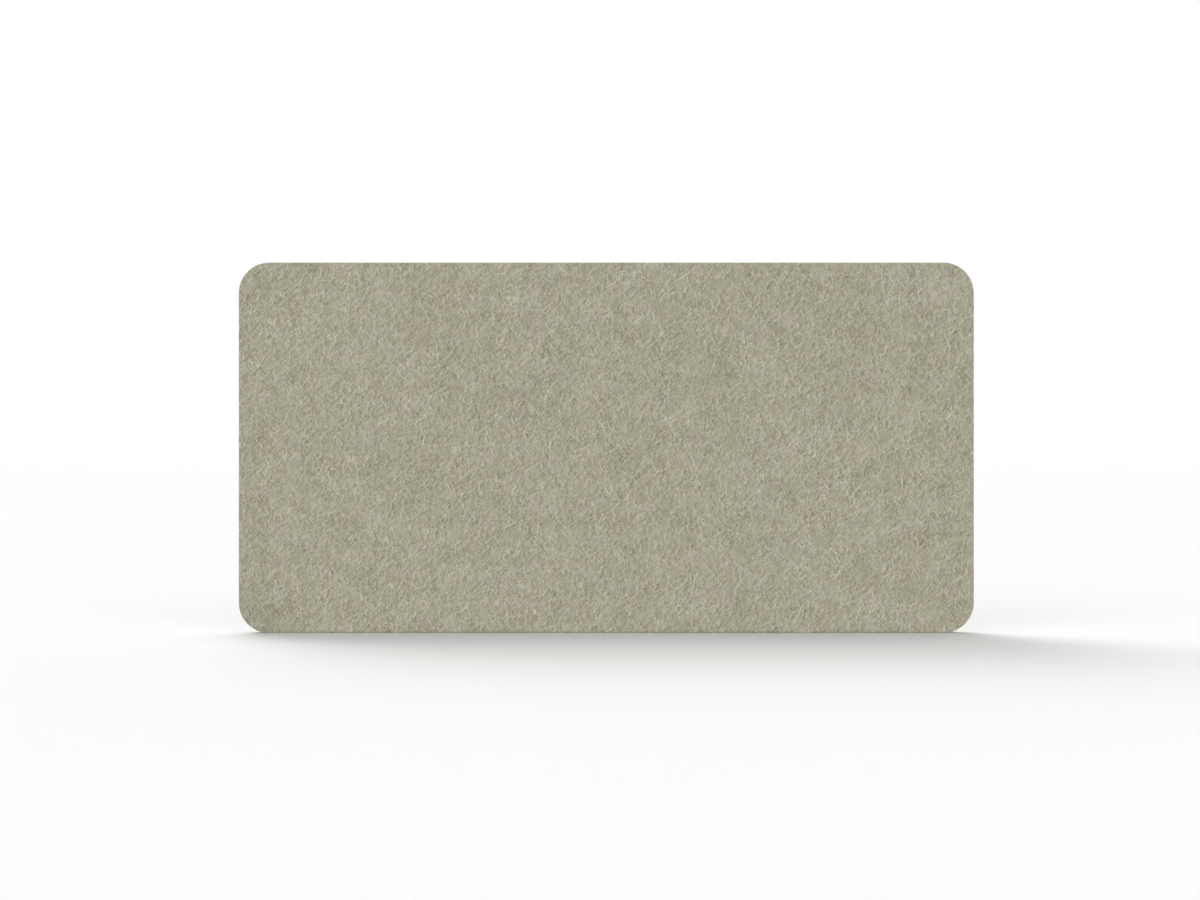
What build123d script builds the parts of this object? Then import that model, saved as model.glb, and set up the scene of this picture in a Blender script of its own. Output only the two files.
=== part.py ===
from build123d import *

import os

# Acoustic divider screen: two pressed felt boards on a plywood frame, with a felt band round the edge.
# The frame is a grooved ladder of rails, stiles and muntins. A hardboard septum sits in the groove of each
# bay and stops sound going through, and a polyester wool slab on each side of it soaks sound up.
# X runs along the screen, Y goes through it from the front to the back, and Z is up.
# The origin is the middle of the underside. Sizes are in millimetres.

# Whole screen
screen_width = 1200.0
screen_height = 605.0
corner_radius = 50.0

# Felt face boards
board_thickness = 6.0
board_arris = 0.8  # rounding of the outer edge, left by the cutter and by handling
seam_break = 0.4  # bevel on both sides of each seam between felt pieces

# Felt band round the edge
band_thickness = 3.0
glue_line = 0.2  # between the band and the frame
butt_gap = 0.3  # between the ends of the edge band and of the bottom band

# Plywood frame
frame_depth = 18.0
rail_width = 60.0
stile_width = 60.0
muntin_width = 50.0

# Septum boards and the groove that holds them
septum_thickness = 4.0
groove_depth = 9.0
groove_clearance = 0.1  # on each face of a septum or tenon
groove_end_gap = 1.0  # past the edge of a septum or tenon, for swelling

# Wool absorber slabs
wool_clearance = 0.5  # round the edge of each slab

# Countersunk screws, one through each corner lap
screw_head_radius = 3.5
screw_head_height = 2.2
screw_shank_radius = 1.75
screw_length = 16.0
screw_tip_length = 3.0
screw_clearance = 0.05

# Threaded inserts for feet or desk clamps, M6
insert_bore_radius = 2.5
insert_barb_radius = 4.75
insert_root_radius = 4.2
insert_barb_count = 2
insert_length = 13.0
insert_flange_radius = 5.5
insert_flange_thickness = 1.0
insert_clearance = 0.05
insert_end_gap = 1.5
insert_hole_margin = 0.5  # felt hole beyond the flange
foot_inset = 150.0  # from each end of the screen to the middle of a foot
foot_hole_pitch = 64.0
foot_hole_count = 2

# Names of the bays from left to right, and of the muntins between them
bay_names = ("left", "middle", "right")
muntin_names = ("left", "right")
side_signs = {"left": -1, "right": 1}
end_signs = {"bottom": -1, "top": 1}
face_signs = {"front": -1, "back": 1}

# Sizes that follow from those above
screen_thickness = frame_depth + 2 * board_thickness
half_depth = frame_depth / 2
middle_height = screen_height / 2
frame_inset = band_thickness + glue_line
frame_width = screen_width - 2 * frame_inset
frame_height = screen_height - 2 * frame_inset
frame_radius = corner_radius - frame_inset
opening_width = frame_width - 2 * stile_width
opening_height = frame_height - 2 * rail_width
bay_width = (opening_width - len(muntin_names) * muntin_width) / len(bay_names)
bay_pitch = bay_width + muntin_width
groove_width = septum_thickness + 2 * groove_clearance
groove_reach = groove_depth - groove_end_gap
wool_thickness = (frame_depth - septum_thickness) / 2
straight_underside = screen_width - 2 * corner_radius
rail_middle = (frame_height - rail_width) / 2
stile_middle = (frame_width - stile_width) / 2


def bay_place(bay):
    """The x of the middle of a bay, counted from the left."""
    return (bay - (len(bay_names) - 1) / 2) * bay_pitch


def muntin_place(muntin):
    """The x of the middle of a muntin, counted from the left."""
    return (muntin - (len(muntin_names) - 1) / 2) * bay_pitch


def spread(count, pitch):
    """Evenly spaced places about zero."""
    return [(number - (count - 1) / 2) * pitch for number in range(count)]


def upright(outline, y_from, y_to):
    """Thickens an outline drawn in X and Z, about the middle of the screen, from y_from to y_to."""
    drawing = Plane.XZ.offset(-y_to) * Pos(0, middle_height) * outline
    return extrude(drawing, y_to - y_from)


def block(width, depth, height, x=0, y=0, z=middle_height):
    """A box by its middle."""
    return Pos(x, y, z) * Box(width, depth, height)


def whole_outline():
    return RectangleRounded(screen_width, screen_height, corner_radius)


def frame_outline():
    return RectangleRounded(frame_width, frame_height, frame_radius)


# Felt


def face_board(sign):
    """One face board. Its outer edge is rounded, and its inner one is bevelled for the seam."""
    inner, outer = sign * half_depth, sign * (half_depth + board_thickness)
    board = upright(whole_outline(), min(inner, outer), max(inner, outer))
    board = fillet(board.edges().filter_by_position(Axis.Y, outer, outer), board_arris)
    return chamfer(board.edges().filter_by_position(Axis.Y, inner, inner), seam_break)


def felt_ring():
    """The closed band that both felt strips are cut from, with its seam bevels."""
    hollow = RectangleRounded(
        screen_width - 2 * band_thickness,
        screen_height - 2 * band_thickness,
        corner_radius - band_thickness,
    )
    ring = upright(whole_outline() - hollow, -half_depth, half_depth)
    rims = ring.faces().sort_by(Axis.Y)
    return chamfer(rims[0].outer_wire().edges() + rims[-1].outer_wire().edges(), seam_break)


def underside_cut(length):
    """The stretch of the ring that lies under the straight part of the underside."""
    return block(length, screen_thickness, 2 * band_thickness, z=0)


def edge_band():
    """Runs up one end, over the top and down the other, round all four corners."""
    return felt_ring() - underside_cut(straight_underside)


def bottom_band():
    """Closes the underside, with a clear hole under each threaded insert."""
    band = felt_ring() & underside_cut(straight_underside - 2 * butt_gap)
    hole_radius = insert_flange_radius + insert_hole_margin
    for x in insert_places():
        band -= Pos(x, 0, band_thickness / 2) * Cylinder(hole_radius, 2 * band_thickness)
    return band


# Frame


def septum_groove():
    """What the cutter takes from the inner edges of the rails and stiles, right round the opening."""
    return block(opening_width + 2 * groove_depth, groove_width, opening_height + 2 * groove_depth)


def lap_half(side, end, face):
    """The front or back half of the corner square, where a rail laps over a stile."""
    z = middle_height + end * rail_middle
    return block(stile_width, half_depth, rail_width, side * stile_middle, face * half_depth / 2, z)


def rail(end):
    """A top or bottom rail. At both ends only its front half is left, to lap over the stiles."""
    strip = Pos(0, end * rail_middle) * Rectangle(frame_width, rail_width)
    member = upright(frame_outline() & strip, -half_depth, half_depth)
    for side in side_signs.values():
        member -= lap_half(side, end, face_signs["back"])
    member -= septum_groove()
    for screw_hole in lap_screws(end, screw_clearance):
        member -= screw_hole
    return member


def bottom_rail():
    """The bottom rail also takes the threaded inserts."""
    member = rail(end_signs["bottom"])
    hole_radius = insert_barb_radius + insert_clearance
    for x in insert_places():
        member -= upward_cylinder(hole_radius, insert_length + insert_end_gap, x, frame_inset)
        member -= upward_cylinder(
            insert_flange_radius + insert_clearance, insert_flange_thickness, x, frame_inset
        )
    return member


def stile(side):
    """A left or right stile. At both ends only its back half is left, under the rails."""
    strip = Pos(side * stile_middle, 0) * Rectangle(stile_width, frame_height)
    member = upright(frame_outline() & strip, -half_depth, half_depth)
    member -= septum_groove()
    for end in end_signs.values():
        member -= lap_half(side, end, face_signs["front"])
        for screw_hole in lap_screws(end, screw_clearance):
            member -= screw_hole
    return member


def muntin(place):
    """A muntin with a groove along both edges and a stub tenon at both ends."""
    x = muntin_place(place)
    member = block(muntin_width, frame_depth, opening_height, x)
    member += block(muntin_width, septum_thickness, opening_height + 2 * groove_reach, x)
    for side in side_signs.values():
        member -= block(
            2 * groove_depth,
            groove_width,
            opening_height + 2 * groove_depth,
            x + side * muntin_width / 2,
        )
    return member


# Filling


def septum(place):
    """A hardboard panel that stands in the groove on all four sides of its bay."""
    return block(
        bay_width + 2 * groove_reach,
        septum_thickness,
        opening_height + 2 * groove_reach,
        bay_place(place),
    )


def absorber(place, sign):
    """A wool slab between a septum and a face board."""
    return block(
        bay_width - 2 * wool_clearance,
        wool_thickness,
        opening_height - 2 * wool_clearance,
        bay_place(place),
        sign * (septum_thickness + wool_thickness) / 2,
    )


# Fixings


def upward_cylinder(radius, height, x, z):
    """A cylinder that stands on z, in the middle of the thickness."""
    return Pos(x, 0, z + height / 2) * Cylinder(radius, height)


def screw(clearance=0):
    """A countersunk screw along Z, its head flush with z = 0 and its point below, or the hole for it."""
    head = screw_head_radius + clearance
    shank = screw_shank_radius + clearance
    length = screw_length + clearance
    profile = Polyline(
        (0, 0),
        (head, 0),
        (shank, -screw_head_height),
        (shank, screw_tip_length - length),
        (0, -length),
        close=True,
    )
    return revolve(Plane.XZ * make_face(profile), Axis.Z)


def lap_screws(end, clearance=0):
    """The screws through both laps of one rail, driven from the back, or the holes for them."""
    z = middle_height + end * rail_middle
    places = [Pos(side * stile_middle, half_depth, z) for side in side_signs.values()]
    return [place * Rot(-90, 0, 0) * screw(clearance) for place in places]


def insert_places():
    """The x of each threaded insert, two for each foot."""
    foot_place = screen_width / 2 - foot_inset
    pair = spread(foot_hole_count, foot_hole_pitch)
    return [side * foot_place + offset for side in side_signs.values() for offset in pair]


def foot_insert():
    """A flanged M6 insert with saw-tooth barbs, mouth down, its flange flush with z = 0."""
    barb_pitch = (insert_length - insert_flange_thickness) / insert_barb_count
    outline = [
        (insert_bore_radius, 0),
        (insert_flange_radius, 0),
        (insert_flange_radius, insert_flange_thickness),
    ]
    for barb in range(insert_barb_count):
        foot_of_barb = insert_flange_thickness + barb * barb_pitch
        outline.append((insert_barb_radius, foot_of_barb))
        outline.append((insert_root_radius, foot_of_barb + barb_pitch))
    outline.append((insert_bore_radius, insert_length))
    return revolve(Plane.XZ * make_face(Polyline(*outline, close=True)), Axis.Z)


# Every piece by the name of its node


def all_pieces():
    pieces = {f"{name}_felt_board": face_board(sign) for name, sign in face_signs.items()}
    pieces["edge_band"] = edge_band()
    pieces["bottom_band"] = bottom_band()
    pieces["top_rail"] = rail(end_signs["top"])
    pieces["bottom_rail"] = bottom_rail()
    for name, side in side_signs.items():
        pieces[f"{name}_stile"] = stile(side)
    for place, name in enumerate(muntin_names):
        pieces[f"{name}_muntin"] = muntin(place)
    for place, name in enumerate(bay_names):
        pieces[f"{name}_septum"] = septum(place)
        for face, sign in face_signs.items():
            pieces[f"{name}_{face}_absorber"] = absorber(place, sign)
    ends = end_signs.values()
    pieces["corner_lap_screws"] = Compound([one for end in ends for one in lap_screws(end)])
    inserts = [Pos(x, 0, frame_inset) * foot_insert() for x in insert_places()]
    pieces["foot_inserts"] = Compound(inserts)
    return pieces


os.makedirs("parts", exist_ok=True)
for node, shape in all_pieces().items():
    export_step(shape, f"parts/{node}.step")
print(f"{screen_width:g} x {screen_thickness:g} x {screen_height:g} mm, bays {bay_width:.1f} mm wide")
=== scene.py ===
# %% [markdown]
# Acoustic divider screen
#
# A screen of pressed felt stands on a pale studio floor. The plywood ladder inside it and the septum boards
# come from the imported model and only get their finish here. The felt is what the eye sees, so its boards and
# bands are modelled again, with the soft unevenness of needled fibre. So are the wool slabs behind it, and
# the screws and inserts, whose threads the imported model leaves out.

import math

import bmesh
import bpy
from mathutils import Matrix, Vector, noise


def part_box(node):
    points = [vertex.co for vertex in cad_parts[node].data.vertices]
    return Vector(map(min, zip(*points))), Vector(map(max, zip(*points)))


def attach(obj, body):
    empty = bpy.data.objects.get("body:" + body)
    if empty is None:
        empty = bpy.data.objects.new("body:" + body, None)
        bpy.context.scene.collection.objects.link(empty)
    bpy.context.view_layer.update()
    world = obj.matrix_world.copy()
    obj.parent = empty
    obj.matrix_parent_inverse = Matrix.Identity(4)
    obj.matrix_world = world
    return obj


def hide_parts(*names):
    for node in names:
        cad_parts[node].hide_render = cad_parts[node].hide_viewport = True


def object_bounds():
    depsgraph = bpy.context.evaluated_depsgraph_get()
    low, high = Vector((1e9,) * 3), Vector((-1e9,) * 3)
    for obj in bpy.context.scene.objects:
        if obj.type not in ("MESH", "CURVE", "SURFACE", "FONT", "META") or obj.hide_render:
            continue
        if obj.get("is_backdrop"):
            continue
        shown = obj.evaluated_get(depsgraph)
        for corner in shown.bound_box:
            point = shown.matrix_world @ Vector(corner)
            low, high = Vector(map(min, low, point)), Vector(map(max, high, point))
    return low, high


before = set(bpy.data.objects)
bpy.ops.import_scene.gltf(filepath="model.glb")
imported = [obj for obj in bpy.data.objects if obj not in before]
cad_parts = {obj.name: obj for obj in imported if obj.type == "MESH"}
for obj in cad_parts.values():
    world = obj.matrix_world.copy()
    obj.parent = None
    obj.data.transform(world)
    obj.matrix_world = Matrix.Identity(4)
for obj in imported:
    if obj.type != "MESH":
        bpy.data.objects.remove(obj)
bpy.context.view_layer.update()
MM = 0.001

# %% [markdown]
# Sizes
#
# Every new piece follows the box of the node that it stands for, so a new packed size needs no change here.
# Only what the boxes can't say is written down, here and below: the corner radius, the thickness of the band
# and the places of the holes for the feet.

# %% Sizes of the face
board_low, board_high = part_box("front_felt_board")
back_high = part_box("back_felt_board")[1]
WIDTH = board_high.x - board_low.x
HEIGHT = board_high.z - board_low.z
CORNER_RADIUS = 50 * MM
print("face", round(WIDTH, 4), "x", round(HEIGHT, 4), "thickness", round(back_high.y - board_low.y, 4))

# %% [markdown]
# The camera
#
# The photograph is square-on: both ends of the screen are parallel and level. Its lens and distance together
# set how large the screen looks, and the thin contact shadow at the lower corners sets how much of the floor
# shows behind the front face. A level camera needs no shift, because its height puts the horizon halfway up.

# %% Camera
CAMERA_DISTANCE = 3.40  # metres in front of the face
CAMERA_HEIGHT = 0.299
CAMERA_SIDE = -0.0103  # to the left of the middle
LENS_MM = 62.5
SENSOR_MM = 36  # width of the picture behind the lens

lens = bpy.data.cameras.new("camera")
lens.lens = LENS_MM
lens.sensor_width = SENSOR_MM
lens.sensor_fit = "HORIZONTAL"
camera = bpy.data.objects.new("camera", lens)
camera.location = (CAMERA_SIDE, board_low.y - CAMERA_DISTANCE, CAMERA_HEIGHT)
camera.rotation_euler = (math.pi / 2, 0, 0)
bpy.context.collection.objects.link(camera)
bpy.context.scene.camera = camera
print("camera", tuple(round(v, 3) for v in camera.location))

# %% [markdown]
# Colours and nodes
#
# Colours are picked as sRGB hex, as a colour picker shows them, but the shaders work in linear light, so one
# function turns them. One more function adds a shader node of any kind, sets it, fills its inputs and returns
# one of its outputs, so that a material reads from top to bottom like a sum.
#
# Most nodes are filled in the order of their inputs. A Mix node has inputs for numbers, vectors and colours
# in one row: its two colours are inputs 6 and 7, and the mixed one is output 2.

# %% Helpers for materials


def linear(hex_colour):
    """The linear RGBA of an sRGB hex colour."""
    channels = [int(hex_colour[i : i + 2], 16) / 255 for i in (1, 3, 5)]
    bent = [c / 12.92 if c <= 0.04045 else ((c + 0.055) / 1.055) ** 2.4 for c in channels]
    return (*bent, 1.0)


def add(tree, kind, *values, take=0, **settings):
    """Adds a shader node and returns the output that take names.

    The values fill its inputs in order, and those in a dictionary by name. Each is a value to set or the
    output of another node to link.
    """
    node = tree.nodes.new("ShaderNode" + kind)
    for name, value in settings.items():
        setattr(node, name, value)
    inputs = {}
    for number, value in enumerate(values):
        inputs.update(value if isinstance(value, dict) else {number: value})
    for key, value in inputs.items():
        if isinstance(value, bpy.types.NodeSocket):
            tree.links.new(value, node.inputs[key])
        else:
            node.inputs[key].default_value = value
    return node.outputs[take] if node.outputs else None


def new_material(name):
    """A material without nodes, and its node tree."""
    material = bpy.data.materials.new(name)
    material.use_nodes = True
    material.node_tree.nodes.clear()
    return material, material.node_tree


def finished(material, surface):
    """Gives a material its surface and says how large its node tree is."""
    tree = material.node_tree
    add(tree, "OutputMaterial", surface)
    print(material.name, "has", len(tree.nodes), "nodes")
    return material


# %% [markdown]
# The light
#
# The photograph has a soft shadow in front of the screen, darkest at its foot, a longer one that runs off to
# the right, and a faint one on the floor behind each end. So the studio is brightest high up behind the
# screen: one soft window stands there to the left, and another hangs almost overhead. Two weaker ones stand
# in front, to the left and to the right, and each leaves the shade behind the far end. The rest is white
# wall, bright near the floor and dim towards the ceiling. A sky made of these does it all, with no lamp to
# leave a hot spot on the floor.
#
# The camera and mirror-like rays see plain white instead, so that the background stays clean.

# %% World
WALL_LIGHT = 2.214
WALL_FADE = 2.215  # how fast the walls darken towards the ceiling
# Light, turn to the left of straight behind, rise above the floor, half angle; angles in degrees
WINDOWS = (
    (4.602, 30.1, 45.7, 27.7),
    (7.083, -17.2, 76.6, 12.5),
    (1.522, 139.9, 38.2, 26.6),
    (1.714, -146.9, 42.7, 18.3),
)
WHITE = linear("#FFFFFF")

world = bpy.data.worlds.new("studio")
bpy.context.scene.world = world
world.use_nodes = True
sky = world.node_tree
sky.nodes.clear()
direction = add(sky, "TexCoord", take="Generated")
height = add(sky, "SeparateXYZ", direction, take="Z")
depth = add(sky, "Math", 1.0, height, operation="SUBTRACT", use_clamp=True)
strength = add(sky, "Math", depth, WALL_FADE, operation="POWER")
strength = add(sky, "Math", strength, WALL_LIGHT, operation="MULTIPLY")
for light, *angles in WINDOWS:
    turn, rise, half_angle = (math.radians(angle) for angle in angles)
    middle = (-math.sin(turn) * math.cos(rise), math.cos(turn) * math.cos(rise), math.sin(rise))
    nearness = add(sky, "VectorMath", direction, middle, operation="DOT_PRODUCT", take="Value")
    edge = {"From Min": math.cos(half_angle), "To Max": light}
    glow = add(sky, "MapRange", nearness, edge, interpolation_type="SMOOTHSTEP")
    strength = add(sky, "Math", strength, glow, operation="ADD")
seen = 0.0
for ray in ("Camera", "Glossy", "Transmission"):
    seen = add(sky, "Math", seen, add(sky, "LightPath", take=f"Is {ray} Ray"), operation="MAXIMUM")
lit = add(sky, "Background", WHITE, strength)
backdrop = add(sky, "Background", WHITE, 1.0)
add(sky, "OutputWorld", add(sky, "MixShader", seen, lit, backdrop))
print("sky with", len(WINDOWS), "windows")

# %% [markdown]
# The floor in front of the foot is in shadow, so it sends little light back up, and the lower part of the
# felt would go darker than it is in the photograph. A studio mends this with a white card on the floor, just
# out of the picture. Here a flat lamp takes its place: it lies on the floor, shines upwards only and can't be
# seen.

# %% Reflector card
CARD_LENGTH = 1.16
CARD_DEPTH = 0.30
CARD_LIGHT = 0.49  # as a share of what white paper sends back in full light
CARD_SIDE = 0.045  # to the right, where the long shadow lies
CARD_GAP = 2 * MM  # to the screen, and to the floor

card_light = bpy.data.lights.new("reflector_card", "AREA")
card_light.shape = "RECTANGLE"
card_light.size = CARD_LENGTH
card_light.size_y = CARD_DEPTH
card_light.energy = CARD_LIGHT * math.pi * CARD_LENGTH * CARD_DEPTH
card = bpy.data.objects.new("reflector_card", card_light)
card.location = (CARD_SIDE, board_low.y - CARD_GAP - CARD_DEPTH / 2, CARD_GAP)
card.rotation_euler = (math.pi, 0, 0)
card.visible_camera = False
card.visible_glossy = False
bpy.context.collection.objects.link(card)
print("reflector card of", round(card_light.energy, 3), "W")

# %% [markdown]
# The floor is a roll of white vinyl. The felt throws a little of its own warm light on it, but the shade
# should stay plain grey, as a picture taken for a white page is balanced to be. So a painted shade, a trace
# cooler and darker, lies on the vinyl in front of the screen, and fades out before the real shade does and
# before the ends.

# %% Floor
FLOOR_SIZE = 60.0
FOOT_SHADE_REACH = 0.4
FOOT_SHADE_INSET = 0.3  # from each end of the screen to where it starts to fade
VINYL = linear("#FDFDFD")
# Painted shade at the foot of the screen:
VINYL_PAINTED_FOOT_SHADE = linear("#F7F8FE")

floor_mesh = bmesh.new()
bmesh.ops.create_grid(floor_mesh, x_segments=1, y_segments=1, size=FLOOR_SIZE / 2)
floor_data = bpy.data.meshes.new("floor")
floor_mesh.to_mesh(floor_data)
floor_mesh.free()
floor = bpy.data.objects.new("floor", floor_data)
bpy.context.collection.objects.link(floor)

floor_finish, tree = new_material("white_vinyl_sweep")
place = add(tree, "VectorMath", add(tree, "TexCoord", take="Object"), operation="ABSOLUTE")
by_foot = (WIDTH / 2 - FOOT_SHADE_INSET, back_high.y, 0)
past = add(tree, "VectorMath", place, by_foot, operation="SUBTRACT")
past = add(tree, "VectorMath", past, (0, 0, 0), operation="MAXIMUM")
away = add(tree, "VectorMath", past, operation="LENGTH", take="Value")
away = add(tree, "MapRange", away, {"From Max": FOOT_SHADE_REACH}, interpolation_type="SMOOTHSTEP")
colour = add(tree, "Mix", away, {6: VINYL_PAINTED_FOOT_SHADE, 7: VINYL}, data_type="RGBA", take=2)
floor_data.materials.append(finished(floor_finish, add(tree, "BsdfDiffuse", colour)))
floor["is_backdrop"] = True

# %% [markdown]
# Patterns in millimetres
#
# Every pattern here is made of soft noise, whose blobs get a real size in millimetres. A seed only says which
# stretch of the endless noise is taken. A pattern lies in the piece itself, or on a UV map where a strip of
# felt is bent round the outline.
#
# Felt and wool are fleece, which is laid in thin layers. So their patterns lie flat in the face of the
# screen, and slide sideways quickly in its depth, which lets a cut edge show the layers.

# %% Helpers for patterns
PER_MM = (1 / MM,) * 3
ON_FACE = -math.pi / 2  # the turn about X that lays the upright face flat
LAYER_SLIDE = (7.3, 4.1, 0.0)  # millimetres sideways for each one of depth
SEED_STEP = (317.0, 191.0)  # millimetres between the stretches of noise of two seeds
OFF_GRID = 0.37  # of a blob's size, because noise is calmer in a cut that follows its own grid
MIDDLE = 0.5  # the value that noise swings about


def place_in_mm(tree, turn=0.0, uv_map=None):
    """The place in the piece, or on its UV map in metres, in millimetres and turned about X."""
    place = add(tree, "UVMap", uv_map=uv_map) if uv_map else add(tree, "TexCoord", take="Object")
    return add(tree, "Mapping", place, {"Rotation": (turn, 0, 0), "Scale": PER_MM})


def in_layers(tree, flat):
    """Slides a place that lies flat sideways with its depth."""
    slide = add(tree, "SeparateXYZ", flat, take="Z")
    slide = add(tree, "VectorMath", LAYER_SLIDE, {"Scale": slide}, operation="SCALE")
    return add(tree, "VectorMath", flat, slide, operation="ADD")


def cloud(tree, at, size_mm, seed, detail=0.0, roughness=0.5):
    """Noise whose blobs are about size_mm across."""
    stretch = (SEED_STEP[0] * seed, SEED_STEP[1] * seed, OFF_GRID * size_mm)
    moved = add(tree, "VectorMath", at, stretch, operation="ADD")
    return add(tree, "TexNoise", moved, {"Scale": 1 / size_mm, "Detail": detail, "Roughness": roughness})


# %% [markdown]
# Needled felt
#
# The boards are polyester felt: short fibres are laid as a fleece, driven through each other by barbed
# needles and pressed flat with heat. What shows is a web of curled strands that lie over each other in every
# direction. Most are paler than the fleece and some are darker. Each is raised a little, and its colour holds
# painted light and shade: pale on the side that faces the light and dark on the other.
#
# A strand follows the line along which a noise passes its middle value: such a line curls, never crosses
# itself and never stops, and eight noises laid over each other make a web. The light from one side is painted
# into the colour: the web is read twice, a little apart, and the difference is added as painted light and
# shade. A real fibre is far thinner than a pixel, so the strands are drawn 2 to 3 mm wide, as coarse as the
# picture needs.

# %% Web of strands
# Size of the noise that the strands follow, how far from its middle value they reach, and how pale they are,
# or how dark if it is below zero. A larger noise has gentler slopes, so a smaller reach draws strands just as
# thin, but longer.
STRANDS = (
    (20, 0.06, 1.0),
    (15, 0.06, 1.0),
    (10, 0.08, 0.8),
    (30, 0.028, 1.1),
    (70, 0.010, 1.4),
    (19, 0.055, -0.9),
    (14, 0.06, -0.8),
    (10, 0.08, -0.6),
)
WEB_MEAN = 0.35
# The painted side light compares each place with one this far off.
PAINTED_LIGHT_STEP = (-2.3, 0.5, 0.0)  # millimetres from a place to the one whose height it is compared with


def strand_web(tree, at, seed):
    """A web of strands: how pale or dark each place is, and so how high."""
    total = -WEB_MEAN
    for number, (curl, reach, paleness) in enumerate(STRANDS):
        field = cloud(tree, at, curl, seed + number, detail=2.0)
        off = add(tree, "Math", field, MIDDLE, operation="SUBTRACT")
        off = add(tree, "Math", off, operation="ABSOLUTE")
        strand = {"From Max": reach, "To Min": paleness, "To Max": 0.0}
        strand = add(tree, "MapRange", off, strand, interpolation_type="SMOOTHSTEP")
        total = add(tree, "Math", total, strand, operation="ADD")
    return total


def web_with_painted_side_light(tree, at, seed, top, painted_side_light):
    """A web whose pale strands are lighter by top, with painted light on one side of each strand and painted
    shade on the other.
    """
    here = strand_web(tree, at, seed)
    there = strand_web(tree, add(tree, "VectorMath", at, PAINTED_LIGHT_STEP, operation="ADD"), seed)
    # Painted light and shade: the difference of the two readings makes one side of each strand lighter and the
    # other darker.
    painted_side_shade = add(tree, "Math", here, there, operation="SUBTRACT")
    raised = add(tree, "Math", here, top, operation="MULTIPLY")
    return add(tree, "Math", painted_side_shade, painted_side_light, raised, operation="MULTIPLY_ADD")


# %% [markdown]
# The fleece is blended from fibres of four tints, which never mix quite evenly. So soft patches drift over
# it, some paler or darker and some of another tint. They have no one size: each kind is a sum of noises,
# every one with blobs twice as large as the one before.

# %% Patches
# Sizes in millimetres, and how much each lightens and darkens the felt or changes its tint
TONE_PATCHES = ((14, 0.11), (28, 0.15), (56, 0.13), (112, 0.07))
GREEN_PATCHES = ((8, 0.26), (16, 0.34), (32, 0.29), (64, 0.17), (128, 0.08))
WARM_PATCHES = ((8, 0.28), (16, 0.33), (32, 0.26), (64, 0.14), (128, 0.05))


def patches(tree, at, sizes, seed, start):
    """start plus soft patches of several sizes."""
    total = start
    for number, (size, weight) in enumerate(sizes):
        field = cloud(tree, at, size, seed + number)
        centred = add(tree, "Math", field, MIDDLE, operation="SUBTRACT")
        total = add(tree, "Math", centred, weight, total, operation="MULTIPLY_ADD")
    return total


# %% [markdown]
# The felt's tints lie on two axes, from sage green to pinkish beige and from straw to grey. Each axis has
# patches of its own, and the felt is half of each. The strands' own paleness, the painted light and shade on
# the strands and the nap, and the tone patches then lighten and darken it. Pale fibres are a little greyer
# than dark ones, so blue changes the most. The eye sees a dull surface without any shine, under a faint bloom
# of fibre ends, which is what the sheen is for.

# %% Felt
SAGE = linear("#93A27D")
BEIGE = linear("#AB9794")
STRAW = linear("#A89E82")
GREY = linear("#999E93")
# A strand's own colour makes it lighter by the first number. The second is painted light: the side of a strand
# that faces the light is painted lighter and the other side darker.
STRAND_TOP = 0.092  # how much lighter a strand is on top, and on its lit flank
STRAND_PAINTED_SIDE_LIGHT = 0.085
WEB_PATCH_MM = 30  # size of the places where the web is denser or thinner
WEB_PATCHES = {"From Min": 0.3, "From Max": 0.7, "To Min": 0.8, "To Max": 1.2}
TUFT_MM = 8
# Painted light: the tops of the nap are painted lighter and its hollows darker, by this much.
NAP_PAINTED_TOP_LIGHT = 0.15  # how much lighter the tops of the nap are
STRANDS_AND_PAINTED_LIGHT_MEAN = 0.0705  # of web and nap, taken off so that the tints stay as picked
# How much red, green and blue change as the felt gets paler
STRAND_LIGHT = (1.0, 1.0, 1.13)
PATCH_LIGHT = (1.02, 1.0, 1.34)


def tufts(tree, at, seed):
    """The height of the nap."""
    return cloud(tree, at, TUFT_MM, seed, detail=1.0, roughness=0.6)


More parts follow.
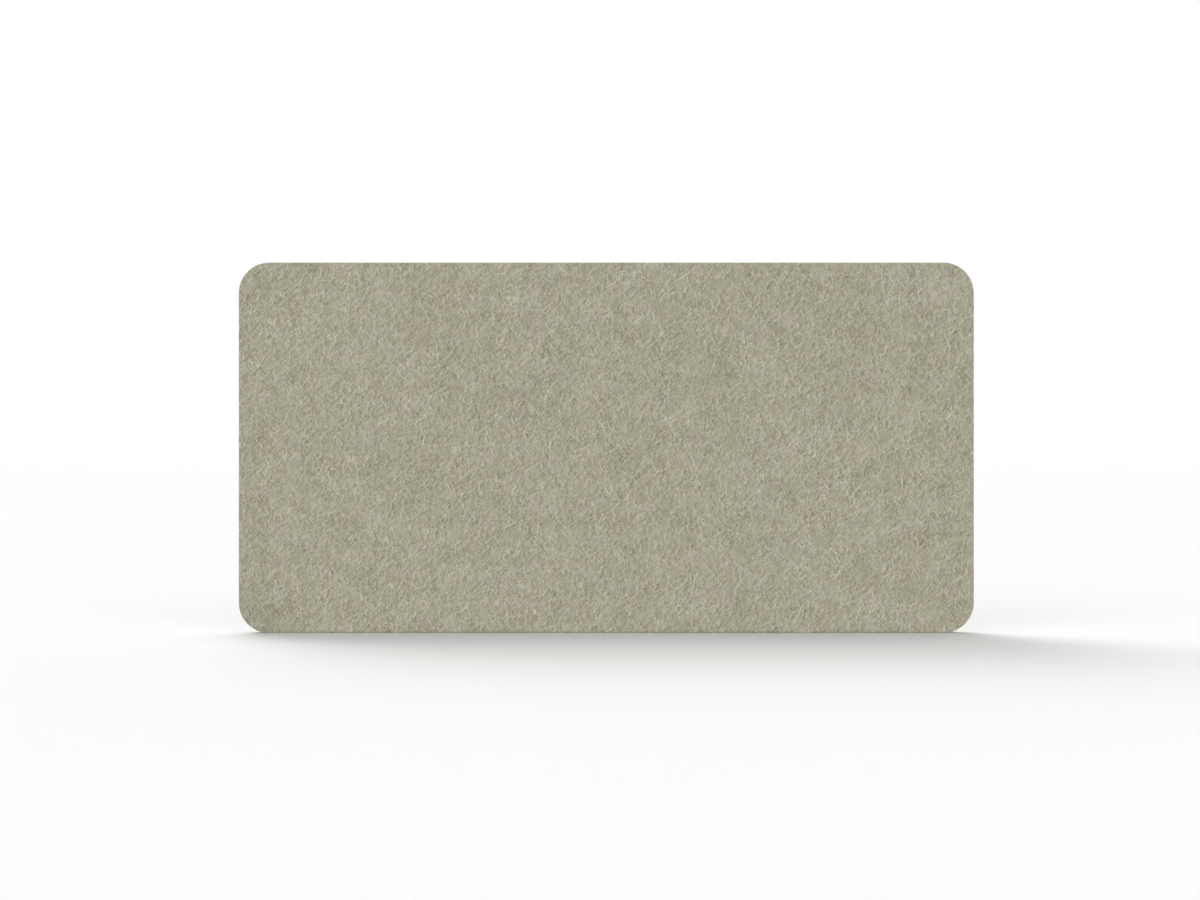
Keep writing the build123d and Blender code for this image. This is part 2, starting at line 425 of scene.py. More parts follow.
def felt(name, turn=0.0, uv_map=None):
    """Needled felt. It follows the face of the screen, or a UV map where it is wrapped round."""
    material, tree = new_material(name)
    at = in_layers(tree, place_in_mm(tree, turn, uv_map))
    web = web_with_painted_side_light(tree, at, seed=1, top=STRAND_TOP, painted_side_light=STRAND_PAINTED_SIDE_LIGHT)
    density = add(tree, "MapRange", cloud(tree, at, WEB_PATCH_MM, seed=9), WEB_PATCHES)
    web = add(tree, "Math", web, density, operation="MULTIPLY")
    nap = tufts(tree, at, seed=9.5)
    # Painted light: the nap's tops are painted lighter and its hollows darker, on top of the strands' own
    # colour and their painted side light.
    strands_and_painted_light = add(tree, "Math", nap, NAP_PAINTED_TOP_LIGHT, web, operation="MULTIPLY_ADD")
    strands_and_painted_light = add(tree, "Math", strands_and_painted_light, STRANDS_AND_PAINTED_LIGHT_MEAN, operation="SUBTRACT")
    drift = patches(tree, at, TONE_PATCHES, seed=11, start=0.0)
    tone = (1.0, 1.0, 1.0)
    for change, light in ((strands_and_painted_light, STRAND_LIGHT), (drift, PATCH_LIGHT)):
        change = add(tree, "VectorMath", light, {"Scale": change}, operation="SCALE")
        tone = add(tree, "VectorMath", tone, change, operation="ADD")

    green_pink = patches(tree, at, GREEN_PATCHES, seed=21, start=MIDDLE)
    warm_cool = patches(tree, at, WARM_PATCHES, seed=31, start=MIDDLE)
    first = add(tree, "Mix", green_pink, {6: SAGE, 7: BEIGE}, data_type="RGBA", take=2)
    second = add(tree, "Mix", warm_cool, {6: STRAW, 7: GREY}, data_type="RGBA", take=2)
    tint = add(tree, "Mix", 0.5, {6: first, 7: second}, data_type="RGBA", take=2)
    surface = {
        "Base Color": add(tree, "VectorMath", tint, tone, operation="MULTIPLY"),
        "Roughness": 0.95,
        "IOR": 1.45,
        "Specular IOR Level": 0.2,
        "Sheen Weight": 0.1,
        "Sheen Roughness": 0.5,
        "Normal": add(tree, "Bump", {"Height": nap, "Strength": 0.25, "Distance": 0.6 * MM}),
    }
    return finished(material, add(tree, "BsdfPrincipled", surface))


felt_board = felt("polyester_felt_needled_board", turn=ON_FACE)
felt_wrap = felt("polyester_felt_needled_band", uv_map="fibres")

# %% [markdown]
# Shaping helpers
#
# Every felt piece starts from the same rounded outline: one square face, stretched to the size of the screen,
# with its four corners bevelled to the corner radius. Cut into small squares, it can then be made a little
# uneven, because pressed felt is never quite flat.

# %% Helpers for shapes
X, Y, Z = range(3)  # the axes, as a vector counts them
CORNER_STEPS = 20
NEAR = 0.01 * MM  # two places this close are the same


def upright_plate(mesh, y):
    """The outline of the screen, as one face at depth y."""
    bmesh.ops.create_grid(mesh, x_segments=1, y_segments=1, size=0.5)
    place = Matrix.Translation((0, y, HEIGHT / 2)) @ Matrix.Rotation(math.pi / 2, 4, "X")
    place = place @ Matrix.Diagonal((WIDTH, HEIGHT, 1, 1))
    bmesh.ops.transform(mesh, matrix=place, verts=mesh.verts)
    bmesh.ops.bevel(
        mesh,
        geom=mesh.verts[:],
        offset=CORNER_RADIUS,
        segments=CORNER_STEPS,
        profile=0.5,
        affect="VERTICES",
        material=-1,
    )


def thicken(mesh, step):
    """Draws every face out by a step into a closed solid."""
    drawn = bmesh.ops.extrude_face_region(mesh, geom=mesh.faces[:])["geom"]
    moved = [part for part in drawn if isinstance(part, bmesh.types.BMVert)]
    bmesh.ops.translate(mesh, vec=step, verts=moved)
    bmesh.ops.recalc_face_normals(mesh, faces=mesh.faces)


def edges_at(mesh, axis, value):
    """The edges that lie wholly at one value of one axis."""
    return [edge for edge in mesh.edges if all(abs(vert.co[axis] - value) < NEAR for vert in edge.verts)]


def round_over(mesh, edges, radius, segments):
    """Rounds edges, or bevels them flat with a single segment."""
    bmesh.ops.bevel(
        mesh, geom=edges, offset=radius, segments=segments, profile=0.5, affect="EDGES", material=-1
    )


def cut_into_cells(mesh, axis, low, high, cell):
    """Cuts a mesh square to one axis into cells of nearly the given size."""
    across = Vector((0, 0, 0))
    across[axis] = 1
    count = max(1, round((high - low) / cell))
    for step in range(1, count):
        everything = mesh.verts[:] + mesh.edges[:] + mesh.faces[:]
        at = across * (low + (high - low) * step / count)
        bmesh.ops.bisect_plane(mesh, geom=everything, plane_co=at, plane_no=across)


# %% [markdown]
# A shape is finished in three steps. Needles and press have left shallow marks in it. Its flats and rounds
# are told apart, so that light falls on each as on the real piece. And it becomes an object that rides with
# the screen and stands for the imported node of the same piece, which is then hidden.

# %% Helpers for surfaces
CREASE = 0.999  # a face is flat towards the front or back if its normal is at least this much along Y
SHARP_TURN = math.radians(25)
MOST_CORNERS = 4  # of a face that stays whole
# Size of the marks that needles and press leave in felt, and how deep they go
PRESS_MARKS = ((22 * MM, 0.12 * MM), (8 * MM, 0.14 * MM))


def press(mesh, verts, marks):
    """Sinks verts, here more and there less, by marks of several sizes and depths."""
    mesh.normal_update()
    for vert in verts:
        sunk = sum(depth * (0.5 + 0.5 * noise.noise(vert.co / size)) for size, depth in marks)
        vert.co -= vert.normal * max(sunk, 0)
    mesh.normal_update()


def crease_flats(mesh):
    """Keeps flat faces flat to the eye right up to their rounded edges."""
    for face in mesh.faces:
        face.smooth = True
    for edge in mesh.edges:
        flat = [abs(face.normal.y) > CREASE for face in edge.link_faces]
        edge.smooth = all(flat) or not any(flat)


def crease_by_angle(mesh):
    """Shades gentle turns as round and sharp ones as edges."""
    for face in mesh.faces:
        face.smooth = True
    for edge in mesh.edges:
        edge.smooth = edge.calc_face_angle(0) < SHARP_TURN


def show_piece(mesh, name, node, material):
    """Makes a finished mesh an object that stands for a CAD node."""
    # Faces with many corners are parted here, so that no export parts them into slivers
    many_sided = [face for face in mesh.faces if len(face.verts) > MOST_CORNERS]
    bmesh.ops.triangulate(mesh, faces=many_sided, ngon_method="BEAUTY")
    data = bpy.data.meshes.new(name)
    mesh.to_mesh(data)
    mesh.free()
    data.materials.append(material)
    piece = bpy.data.objects.new(name, data)
    bpy.context.collection.objects.link(piece)
    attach(piece, "root")
    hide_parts(node)
    print(name, len(data.polygons), "faces")
    return piece


# %% [markdown]
# Face boards
#
# Each board is the outline drawn out to the thickness of the felt. The cutter leaves its outer edge slightly
# round, and the inner edge has a small bevel where it meets the band. The outer face sinks and rises by about
# a tenth of a millimetre in tufts less than a centimetre wide, as the needles and the press leave it. Such
# small tufts need small cells, but only there: the glued inner face keeps the large ones.

# %% Face boards
ARRIS = 0.8 * MM
SEAM_BREAK = 0.4 * MM
BOARD_CELL = 13 * MM
TUFT_CUTS = 3  # cuts across each cell of the outer face


def refine_outside(mesh, outer, inner):
    """Cuts the cells of the outer face, and those round its edge, into smaller ones."""
    lopsided = [face for face in mesh.faces if abs(face.calc_center_median().y - outer) < NEAR]
    lopsided = [face for face in lopsided if len(face.verts) > MOST_CORNERS]
    bmesh.ops.triangulate(mesh, faces=lopsided)
    level = [edge for edge in mesh.edges if abs(edge.verts[0].co.y - edge.verts[1].co.y) < NEAR]
    level = [edge for edge in level if abs(edge.verts[0].co.y - inner) > NEAR]
    bmesh.ops.subdivide_edges(mesh, edges=level, cuts=TUFT_CUTS, use_grid_fill=True)


def face_board(name, node, outer):
    """A felt board in the box of its node, with its tufted face at depth outer."""
    low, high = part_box(node)
    inner = low.y + high.y - outer
    mesh = bmesh.new()
    upright_plate(mesh, low.y)
    thicken(mesh, (0, high.y - low.y, 0))
    round_over(mesh, edges_at(mesh, Y, outer), ARRIS, segments=4)
    round_over(mesh, edges_at(mesh, Y, inner), SEAM_BREAK, segments=1)
    cut_into_cells(mesh, X, low.x, high.x, BOARD_CELL)
    cut_into_cells(mesh, Z, low.z, high.z, BOARD_CELL)
    refine_outside(mesh, outer, inner)
    press(mesh, [vert for vert in mesh.verts if abs(vert.co.y - outer) < ARRIS + NEAR], PRESS_MARKS)
    crease_flats(mesh)
    return show_piece(mesh, name, node, felt_board)


face_board("front_felt", "front_felt_board", board_low.y)
face_board("back_felt", "back_felt_board", back_high.y)

# %% [markdown]
# Felt bands
#
# A strip of thinner felt is wrapped round the edge of the frame and closes the gap between the boards. It is
# a ring cut out of the same outline. The fibres run along the strip, so the ring is unrolled: a UV map holds
# how far along the outline each point lies, and how far across the strip.

# %% Unrolling the outline
half_width = WIDTH / 2 - CORNER_RADIUS
half_height = HEIGHT / 2 - CORNER_RADIUS
QUARTER = CORNER_RADIUS * math.pi / 2
DOWN, LEFT, UP, RIGHT = Vector((0, -1)), Vector((-1, 0)), Vector((0, 1)), Vector((1, 0))
# Middle of each corner arc, the way out of the screen where the arc starts and ends, and the side after it
CORNERS = (
    (Vector((-half_width, -half_height)), DOWN, LEFT, 2 * half_height),
    (Vector((-half_width, half_height)), LEFT, UP, 2 * half_width),
    (Vector((half_width, half_height)), UP, RIGHT, 2 * half_height),
    (Vector((half_width, -half_height)), RIGHT, DOWN, 2 * half_width),
)


def unrolled(place):
    """How far a point lies along the outline, from the foot of the lower left corner."""
    run = 0.0
    for middle, start, end, side in CORNERS:
        offset = Vector((place.x, place.z - HEIGHT / 2)) - middle
        back, out = offset.dot(start), offset.dot(end)
        if back >= 0 and out >= -NEAR:
            return run + CORNER_RADIUS * math.atan2(out, back)
        if out > 0 and -back <= side + NEAR:
            return run + QUARTER - back
        run += QUARTER + side
    return run


def map_fibres(mesh):
    """Writes the UV map that lays the felt pattern along a band."""
    layer = mesh.loops.layers.uv.new("fibres")
    for face in mesh.faces:
        for loop in face.loops:
            loop[layer].uv = (loop.vert.co.y, unrolled(loop.vert.co))


def depth_inside(place):
    """How far a point lies inside the outline of the screen."""
    x, z = abs(place.x) - half_width, abs(place.z - HEIGHT / 2) - half_height
    return CORNER_RADIUS - (math.hypot(x, z) if min(x, z) > 0 else max(x, z))


print("length of the outline", round(4 * QUARTER + 4 * half_width + 4 * half_height, 4), "m")

# %% [markdown]
# The edge band starts as the whole ring. The stretch along the straight underside is taken away, because the
# bottom band lies there, and the two ends are closed.

# %% Edge band
BAND_THICKNESS = 3 * MM
BAND_CELL = 3.5 * MM
band_low, band_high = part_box("edge_band")


def outer_rims(mesh, low, high):
    """The edges where the outer face of a band meets its front and back."""
    rims = edges_at(mesh, Y, low.y) + edges_at(mesh, Y, high.y)
    return [edge for edge in rims if all(depth_inside(vert.co) < NEAR for vert in edge.verts)]


ring = bmesh.new()
upright_plate(ring, band_low.y)
bmesh.ops.inset_region(
    ring, faces=ring.faces[:], thickness=BAND_THICKNESS, use_boundary=True, use_even_offset=True
)
inside = max(ring.faces, key=lambda face: face.calc_area())
bmesh.ops.delete(ring, geom=[inside], context="FACES")
thicken(ring, (0, band_high.y - band_low.y, 0))
round_over(ring, outer_rims(ring, band_low, band_high), SEAM_BREAK, segments=1)
underside = [face for face in ring.faces if face.calc_center_median().z < BAND_THICKNESS + NEAR]
underside = [face for face in underside if abs(face.calc_center_median().x) < half_width - NEAR]
bmesh.ops.delete(ring, geom=underside, context="FACES")
bmesh.ops.holes_fill(ring, edges=[edge for edge in ring.edges if edge.is_boundary])
bmesh.ops.recalc_face_normals(ring, faces=ring.faces)
for axis in (X, Y, Z):
    cut_into_cells(ring, axis, band_low[axis], band_high[axis], BAND_CELL)
press(ring, [vert for vert in ring.verts if depth_inside(vert.co) < NEAR], PRESS_MARKS)
map_fibres(ring)
crease_by_angle(ring)
show_piece(ring, "edge_felt", "edge_band", felt_wrap)

# %% [markdown]
# The bottom band is a straight strip with four punched holes, so that feet or desk clamps can be screwed into
# the inserts above them. The strip's outline and the circles are filled together, and then drawn up. Its
# edges and the rims of its holes are slightly broken, as knife and punch leave them. The weight of the screen
# keeps this strip flat, so it needs no cells.

# %% Bottom band
FOOT_INSET = 150 * MM  # from each end of the screen to the middle of a pair of holes
FOOT_HOLE_PITCH = 64 * MM
FOOT_HOLE_RADIUS = 6 * MM
HOLE_STEPS = 32
closer_low, closer_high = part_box("bottom_band")
foot = WIDTH / 2 - FOOT_INSET
pair = (foot - FOOT_HOLE_PITCH / 2, foot + FOOT_HOLE_PITCH / 2)
hole_sides = [side * x for x in pair for side in (1, -1)]  # how far to the right each hole lies

strip = bmesh.new()
bmesh.ops.create_grid(strip, x_segments=1, y_segments=1, size=0.5)
size = closer_high - closer_low
flat_place = Matrix.Translation((0, 0, closer_low.z)) @ Matrix.Diagonal((size.x, size.y, 1, 1))
bmesh.ops.transform(strip, matrix=flat_place, verts=strip.verts)
bmesh.ops.delete(strip, geom=strip.faces[:], context="FACES_ONLY")
for x in hole_sides:
    around = Matrix.Translation((x, 0, closer_low.z))
    bmesh.ops.create_circle(strip, segments=HOLE_STEPS, radius=FOOT_HOLE_RADIUS, matrix=around)
bmesh.ops.triangle_fill(strip, edges=strip.edges[:], use_beauty=True, use_dissolve=False)
thicken(strip, (0, 0, size.z))
under_edges = [edge for edge in edges_at(strip, Z, closer_low.z) if edge.calc_face_angle(0) > SHARP_TURN]
round_over(strip, under_edges, SEAM_BREAK, segments=2)
bmesh.ops.remove_doubles(strip, verts=strip.verts, dist=2 * NEAR)
map_fibres(strip)
crease_by_angle(strip)
show_piece(strip, "underside_felt", "bottom_band", felt_wrap)

# %% [markdown]
# Wool slabs
#
# The slabs are cut from a thick, springy fleece of polyester wool. It is paler and looser than the felt: its
# edges are round, its faces dip where the web is thin, and single fibres show.

# %% Wool
WOOL = linear("#E9E8E3")
WOOL_SHADE = linear("#DAD8D1")
WOOL_PATCH_MM = 40
WOOL_TOP = 0.06
# Painted light and shade on the sides of the wool strands:
WOOL_PAINTED_SIDE_LIGHT = 0.08
WOOL_TONE = 0.9  # the tone between the strands


def wool(name):
    """Polyester wool, whose web stands out more than that of the pressed felt."""
    material, tree = new_material(name)
    at = in_layers(tree, place_in_mm(tree, ON_FACE))
    # Painted side light: as on the felt, one side of each strand is painted lighter and the other darker.
    web = web_with_painted_side_light(tree, at, seed=41, top=WOOL_TOP, painted_side_light=WOOL_PAINTED_SIDE_LIGHT)
    tone = add(tree, "Math", web, WOOL_TONE, operation="ADD")
    tone = patches(tree, at, TONE_PATCHES, seed=43, start=tone)
    shade = cloud(tree, at, WOOL_PATCH_MM, seed=47, detail=2.0)
    tint = add(tree, "Mix", shade, {6: WOOL, 7: WOOL_SHADE}, data_type="RGBA", take=2)
    nap = tufts(tree, at, seed=45)
    surface = {
        "Base Color": add(tree, "VectorMath", tint, {"Scale": tone}, operation="SCALE"),
        "Roughness": 1.0,
        "IOR": 1.45,
        "Specular IOR Level": 0.15,
        "Sheen Weight": 0.3,
        "Sheen Roughness": 0.6,
        "Normal": add(tree, "Bump", {"Height": nap, "Strength": 0.6, "Distance": 1.5 * MM}),
    }
    return finished(material, add(tree, "BsdfPrincipled", surface))


wool_fleece = wool("polyester_wool_airlaid_fleece")

# %% [markdown]
# Each bay of the frame holds two slabs, one on each side of its septum board. A slab is a box with well
# rounded edges, cut into cells that sink here and there.

# %% Wool slabs
WOOL_EDGE = 2.4 * MM
WOOL_DIPS = ((22 * MM, 0.3 * MM), (10 * MM, 0.35 * MM))
WOOL_CELL = 5 * MM

for bay in ("left", "middle", "right"):
    for face in ("front", "back"):
        node = f"{bay}_{face}_absorber"
        low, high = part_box(node)
        slab = bmesh.new()
        slab_place = Matrix.Translation((low + high) / 2) @ Matrix.Diagonal((*(high - low), 1))
        bmesh.ops.create_cube(slab, size=1, matrix=slab_place)
        round_over(slab, slab.edges[:], WOOL_EDGE, segments=3)
        cut_into_cells(slab, X, low.x, high.x, WOOL_CELL)
        cut_into_cells(slab, Z, low.z, high.z, WOOL_CELL)
        press(slab, slab.verts, WOOL_DIPS)
        crease_by_angle(slab)
        show_piece(slab, f"{bay}_{face}_wool", node, wool_fleece)

# %% [markdown]
# Birch plywood
#
# The frame is cut from 18 mm birch plywood of thirteen plies. Its faces show a pale, calm veneer with fine
# streaks along the grain. Its edges show the plies: pale where the grain runs along the edge, darker where it
# ends in it, and a thin dark glue line between.

# %% Plywood
VENEER = linear("#D9BC8C")
VENEER_STREAK = linear("#BE9A66")
END_GRAIN = linear("#A67F50")
GLUE = linear("#5E4128")
GRAIN_STRETCH = 1 / 45
STREAK_MM, STREAK_SHARE = 0.7, 0.55
FIGURE_MM, FIGURE_SHARE = 9, 0.75
FIGURE_STRETCH = (0.6, 1.0, 0.6)
PORE_MM = 0.5
PLY_MM = 18 / 13
WANDER_MM, WANDER_DEPTH = 25, 0.3  # a sawn ply isn't quite straight
GLUE_SHOWS = 0.8
FACING = 0.7  # a face looks to the front or back if its normal is at least this much along Y


def plywood(name, across, along):
    """Birch plywood. Across and along say how each axis is scaled, so that the grain runs one way."""
    material, tree = new_material(name)
    flat = place_in_mm(tree)
    grain = add(tree, "VectorMath", flat, (across, 1.0, along), operation="MULTIPLY")
    streak = cloud(tree, grain, STREAK_MM, seed=51, detail=2.0)
    wide = add(tree, "VectorMath", grain, FIGURE_STRETCH, operation="MULTIPLY")
    figure = cloud(tree, wide, FIGURE_MM, seed=52, detail=3.0)
    figure = add(tree, "Math", figure, FIGURE_SHARE, operation="MULTIPLY")
    figure = add(tree, "Math", streak, STREAK_SHARE, figure, operation="MULTIPLY_ADD")
    figure = add(tree, "MapRange", figure, {"From Min": 0.45, "From Max": 0.9})
    veneer = add(tree, "Mix", figure, {6: VENEER, 7: VENEER_STREAK}, data_type="RGBA", take=2)

    depth = add(tree, "SeparateXYZ", flat, take="Y")
    wander = cloud(tree, flat, WANDER_MM, seed=53)
    ply = add(tree, "Math", wander, WANDER_DEPTH, depth, operation="MULTIPLY_ADD")
    ply = add(tree, "Math", ply, PLY_MM, operation="PINGPONG")
    ply = add(tree, "Math", ply, PLY_MM, operation="DIVIDE")
    end_ply = add(tree, "MapRange", ply, {"From Min": 0.44, "From Max": 0.5})
    pores = cloud(tree, flat, PORE_MM, seed=54, detail=1.0)
    pores = add(tree, "Mix", pores, {6: END_GRAIN, 7: VENEER_STREAK}, data_type="RGBA", take=2)
    edge = add(tree, "Mix", end_ply, {6: veneer, 7: pores}, data_type="RGBA", take=2)
    line = add(tree, "Math", ply, MIDDLE, operation="SUBTRACT")
    line = add(tree, "Math", line, operation="ABSOLUTE")
    line = add(tree, "MapRange", line, {"From Min": 0.09, "From Max": 0.03})
    line = add(tree, "Math", line, GLUE_SHOWS, operation="MULTIPLY")
    edge = add(tree, "Mix", line, {6: edge, 7: GLUE}, data_type="RGBA", take=2)

    facing = add(tree, "SeparateXYZ", add(tree, "TexCoord", take="Normal"), take="Y")
    facing = add(tree, "Math", facing, operation="ABSOLUTE")
    on_face = add(tree, "Math", facing, FACING, operation="GREATER_THAN")
    surface = {
        "Base Color": add(tree, "Mix", on_face, {6: edge, 7: veneer}, data_type="RGBA", take=2),
        "Roughness": add(tree, "MapRange", streak, {"To Min": 0.5, "To Max": 0.7}),
        "IOR": 1.5,
        "Normal": add(tree, "Bump", {"Height": figure, "Strength": 0.3, "Distance": 0.15 * MM}),
    }
    return finished(material, add(tree, "BsdfPrincipled", surface))


rail_wood = plywood("birch_plywood_sawn_rail", GRAIN_STRETCH, 1.0)
stile_wood = plywood("birch_plywood_sawn_stile", 1.0, GRAIN_STRETCH)

# %% [markdown]
# Hardboard
#
# The septum boards are standard hardboard: brown wood fibre pressed hot. The front is smooth and slightly
# glossy. The back lay on a wire mesh in the press, whose print is left all over it.

# %% Hardboard
BROWN = linear("#6E4C31")
BROWN_DARK = linear("#543722")
BOARD_FIBRE_MM = 3
MESH_MM = 1.6
MESH_HEIGHT = 0.35  # of the fibres' height


def hardboard(name):
    """Hardboard with a smooth front and a meshed back."""
    material, tree = new_material(name)
    flat = place_in_mm(tree)
    facing = add(tree, "SeparateXYZ", add(tree, "TexCoord", take="Normal"), take="Y")
    on_back = add(tree, "Math", facing, FACING, operation="GREATER_THAN")
    printed = on_back
    for axis in "XZ":
        wire = add(tree, "SeparateXYZ", flat, take=axis)
        wire = add(tree, "Math", wire, math.tau / MESH_MM, operation="MULTIPLY")
        wire = add(tree, "Math", wire, operation="SINE")
        printed = add(tree, "Math", printed, wire, operation="MULTIPLY")
    fibre = cloud(tree, flat, BOARD_FIBRE_MM, seed=61, detail=4.0, roughness=0.65)
    height = add(tree, "Math", printed, MESH_HEIGHT, fibre, operation="MULTIPLY_ADD")
    mottle = add(tree, "MapRange", fibre, {"From Min": 0.3, "From Max": 0.7})
    surface = {
        "Base Color": add(tree, "Mix", mottle, {6: BROWN_DARK, 7: BROWN}, data_type="RGBA", take=2),
        "Roughness": add(tree, "MapRange", on_back, {"To Min": 0.42, "To Max": 0.75}),
        "IOR": 1.5,
        "Normal": add(tree, "Bump", {"Height": height, "Strength": 0.5, "Distance": 0.2 * MM}),
    }
    return finished(material, add(tree, "BsdfPrincipled", surface))


septum_board = hardboard("hardboard_pressed_mesh_back")

# %% [markdown]
# Zinc-plated steel
#
# The screws and the threaded inserts are steel with a thin coat of zinc. It is a cool, half-dull grey metal,
# with a faint yellow and blue bloom from the clear passivation, and slightly blurred reflections.

# %% Steel
ZINC = linear("#B4B8BC")
ZINC_WARM = linear("#BDB8A6")
BLOOM_MM = 4
SPANGLE_MM = 1.2
TOOL_MARK_MM = 0.6


def zinc_plate(name):
    """Steel with a thin coat of zinc."""
    material, tree = new_material(name)
    flat = place_in_mm(tree)
    bloom = cloud(tree, flat, BLOOM_MM, seed=71, detail=2.0)
    spangle = cloud(tree, flat, SPANGLE_MM, seed=72, detail=2.0)
    tool_marks = cloud(tree, flat, TOOL_MARK_MM, seed=73, detail=2.0)
    surface = {
        "Base Color": add(tree, "Mix", bloom, {6: ZINC, 7: ZINC_WARM}, data_type="RGBA", take=2),
        "Metallic": 1.0,
        "Roughness": add(tree, "MapRange", spangle, {"To Min": 0.25, "To Max": 0.5}),
        "Normal": add(tree, "Bump", {"Height": tool_marks, "Strength": 0.15, "Distance": 0.05 * MM}),
    }
    return finished(material, add(tree, "BsdfPrincipled", surface))


zinc = zinc_plate("zinc_plated_steel_turned")

# %% [markdown]
# Turned shapes
#
# The laps of the frame are held by countersunk chipboard screws. The inserts for the feet are pressed in:
# outside they have barbs that slide in but not out, and inside a thread for an M6 bolt. Both are turned round
# one axis. Their threads come first, each as a tube with two open rims. A rim is then drawn on from circle to
# circle, and a circle can be pressed into lobes, as the recess for a driver is. A finished mesh is copied to
# every place where the real piece stands.

# %% Helpers for turned shapes
LOBES = 6


def set_radius(vert, radius, lobe=0.0):
    """Moves a vert straight out from the Z axis, or in towards it."""
    angle = math.atan2(vert.co.y, vert.co.x)
    vert.co.xy = vert.co.xy.normalized() * radius * (1 + lobe * math.cos(LOBES * angle))


def open_rim(mesh, z):
    """The open edges at height z."""
    return [edge for edge in edges_at(mesh, Z, z) if edge.is_boundary]


def draw_on(mesh, rim, circles):
    """Draws an open rim on through circles: radius and height in millimetres, and depth of the lobes."""
    for radius, z, lobe in circles:
        drawn = bmesh.ops.extrude_edge_only(mesh, edges=rim)["geom"]
        verts = [part for part in drawn if isinstance(part, bmesh.types.BMVert)]
        for vert in verts:
            set_radius(vert, radius * MM, lobe)
            vert.co.z = z * MM
        rim = [edge for edge in mesh.edges if edge.is_boundary and edge.verts[0] in verts]
    return rim


def repeated(mesh, places):
    """One mesh with a copy of the given one at each place."""
    bmesh.ops.dissolve_degenerate(mesh, dist=NEAR, edges=mesh.edges[:])
    bmesh.ops.recalc_face_normals(mesh, faces=mesh.faces)
    crease_by_angle(mesh)
    one = bpy.data.meshes.new("one")
    mesh.to_mesh(one)
    mesh.free()
    copies = bmesh.new()
    for place in places:
        done = len(copies.verts)
        copies.from_mesh(one)
        bmesh.ops.transform(copies, matrix=place, verts=copies.verts[:][done:])
    bpy.data.meshes.remove(one)
    return copies


# %% [markdown]
# Threads
#
# Spinning a closed profile can't make a thread, because a thread rises as it goes round. So one pitch of it
# is drawn as a line with one ridge, and every step of the spin also lifts the line a little. After a full
# turn it has risen by its own height, so each turn joins the next one into a long tube. The ends of the tube
# are cut square, and the ridge sinks to nothing there.

# %% Threads
TURN_STEPS = 48
SPINE = Vector((0, 0, 1))
# One pitch of a thread: how far along it a point lies, and how much of the ridge stands there
RIDGE = ((0.0, 0.0), (0.3, 0.0), (0.6, 1.0), (0.7, 1.0), (1.0, 0.0))
START_BELOW = 1.5  # pitches of thread below the tube, which are cut off
SPARE_TURNS = 2  # of the spin, so that it passes both ends of the tube


def threaded_tube(root, crest, pitch, low, high):
    """A tube round the Z axis, open at both ends, with a thread that runs out towards them."""
    mesh = bmesh.new()
    start = low - START_BELOW * pitch
    profile = [
        mesh.verts.new((root + share * (crest - root), 0, start + along * pitch)) for along, share in RIDGE
    ]
    lines = [mesh.edges.new(pair) for pair in zip(profile, profile[1:])]
    turns = math.ceil((high - low) / pitch) + SPARE_TURNS
    bmesh.ops.spin(
        mesh,
        geom=profile + lines,
        axis=SPINE,
        dvec=SPINE * pitch / TURN_STEPS,
        angle=turns * math.tau,
        steps=turns * TURN_STEPS,
    )
    bmesh.ops.remove_doubles(mesh, verts=mesh.verts[:], dist=NEAR)
    for height, way in ((low, -1), (high, 1)):
        everything = mesh.verts[:] + mesh.edges[:] + mesh.faces[:]
        bmesh.ops.bisect_plane(
            mesh, geom=everything, plane_co=SPINE * height, plane_no=SPINE * way, clear_outer=True
        )
    for vert in mesh.verts:
        from_end = min(vert.co.z - low, high - vert.co.z) / pitch
        set_radius(vert, root + (vert.co.xy.length - root) * min(max(from_end, 0), 1))
    return mesh


# %% [markdown]
# A lap screw is drawn with its head flush with z = 0 and its point below. From the upper rim of the thread
# the neck widens to the countersunk head, and the recess for a six-lobe driver goes back down inside it.
# Towards the point, thread and core shrink together.

# %% Lap screws
SCREW_ROOT, SCREW_CREST, SCREW_PITCH = 1.15 * MM, 1.75 * MM, 1.6 * MM
SCREW_NECK, SCREW_POINT, POINT_LENGTH = -3.2 * MM, -15.8 * MM, 4.0 * MM
BLUNT = 0.12  # of the core's radius, left at the very point
SCREW_HEAD = (
    (1.15, -3.0, 0),
    (1.75, -2.2, 0),
    (3.4, -0.3, 0),
    (3.5, -0.2, 0),
    (3.4, 0.0, 0),
    (1.55, 0.0, 0.09),
    (1.4, -1.5, 0.09),
    (0.3, -1.9, 0),
)
SCREW_TIP = ((0.05, -16.0, 0),)
HEAD_RADIUS = max(radius for radius, z, lobe in SCREW_HEAD) * MM

screw = threaded_tube(SCREW_ROOT, SCREW_CREST, SCREW_PITCH, SCREW_POINT, SCREW_NECK)
bmesh.ops.holes_fill(screw, edges=draw_on(screw, open_rim(screw, SCREW_NECK), SCREW_HEAD))
for vert in screw.verts:
    share = (vert.co.z - SCREW_POINT) / POINT_LENGTH
    set_radius(vert, vert.co.xy.length * min(max(share, BLUNT), 1))
bmesh.ops.holes_fill(screw, edges=draw_on(screw, open_rim(screw, SCREW_POINT), SCREW_TIP))
screw_low, screw_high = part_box("corner_lap_screws")
places = []
for x in (screw_low.x + HEAD_RADIUS, screw_high.x - HEAD_RADIUS):
    for z in (screw_low.z + HEAD_RADIUS, screw_high.z - HEAD_RADIUS):
        # No two screws stop at the same turn
        turned = Matrix.Rotation(-math.pi / 2, 4, "X") @ Matrix.Rotation(len(places), 4, "Z")
        places.append(Matrix.Translation((x, screw_high.y, z)) @ turned)
show_piece(repeated(screw, places), "lap_screws", "corner_lap_screws", zinc)

# %% [markdown]
# An insert stands mouth down on z = 0. From the lower rim of its thread the mouth opens to the flange, the
# barbs follow up the outside, and the top joins the upper rim of the thread.

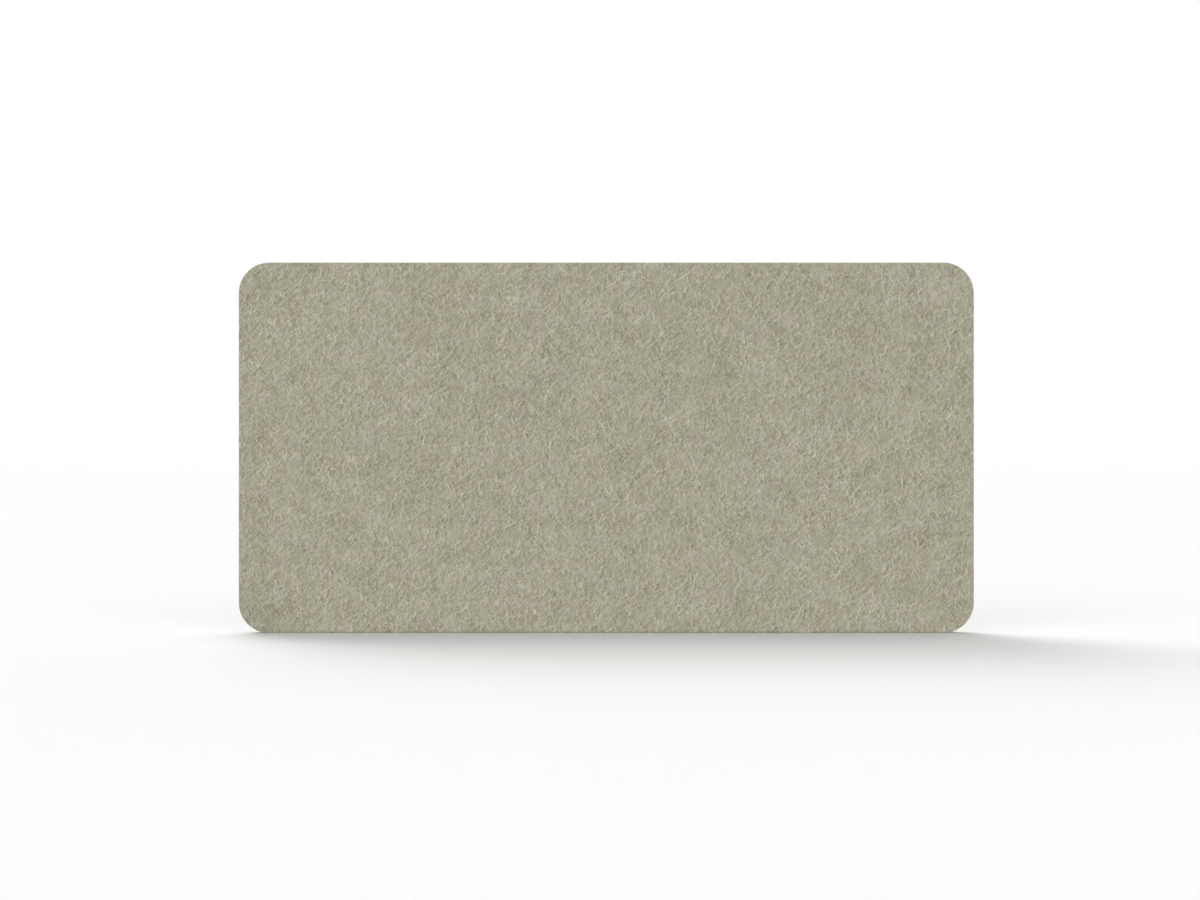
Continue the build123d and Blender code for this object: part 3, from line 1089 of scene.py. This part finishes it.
# %% Foot inserts
BOLT_RADIUS, BORE_RADIUS, BOLT_PITCH = 3.0 * MM, 2.5 * MM, 1.0 * MM
THREAD_LOW, THREAD_HIGH = 0.5 * MM, 12.5 * MM
INSERT_FLANGE = ((3.3, 0.1, 0), (3.4, 0.0, 0), (5.3, 0.0, 0), (5.5, 0.2, 0), (5.5, 0.9, 0), (5.4, 1.0, 0))
BARB_HEIGHTS = (1.0, 3.0, 5.0, 7.0, 9.0, 11.0)
BARB_WIDE, BARB_SLIM, BARB_LENGTH = 4.75, 4.2, 1.9  # radii at foot and tip, and height
INSERT_TOP = ((3.9, 13.0, 0), (3.3, 13.0, 0))

outline = [*INSERT_FLANGE]
for z in BARB_HEIGHTS:
    outline += [(BARB_WIDE, z, 0), (BARB_SLIM, z + BARB_LENGTH, 0)]
insert = threaded_tube(BOLT_RADIUS, BORE_RADIUS, BOLT_PITCH, THREAD_LOW, THREAD_HIGH)
last = draw_on(insert, open_rim(insert, THREAD_LOW), (*outline, *INSERT_TOP))
bmesh.ops.bridge_loops(insert, edges=last + open_rim(insert, THREAD_HIGH))
insert_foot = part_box("foot_inserts")[0].z
places = [Matrix.Translation((x, 0, insert_foot)) for x in hole_sides]
show_piece(repeated(insert, places), "m6_inserts", "foot_inserts", zinc)

# %% [markdown]
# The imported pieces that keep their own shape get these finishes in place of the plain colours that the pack
# gave them.

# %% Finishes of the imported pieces
FINISHES = {
    rail_wood: ("top_rail", "bottom_rail"),
    stile_wood: ("left_stile", "right_stile", "left_muntin", "right_muntin"),
    septum_board: ("left_septum", "middle_septum", "right_septum"),
}
for finish, nodes in FINISHES.items():
    for node in nodes:
        for slot in bpy.data.objects[node].material_slots:
            slot.material = finish
print("finished", sum(len(nodes) for nodes in FINISHES.values()), "packed pieces")

# %% [markdown]
# The plain Standard view shows each colour as it is written. The last lines find the box of the dressed model,
# floor left out.

# %% Render settings
bpy.context.scene.view_settings.view_transform = "Standard"

# %% Box of the dressed model
low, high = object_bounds()
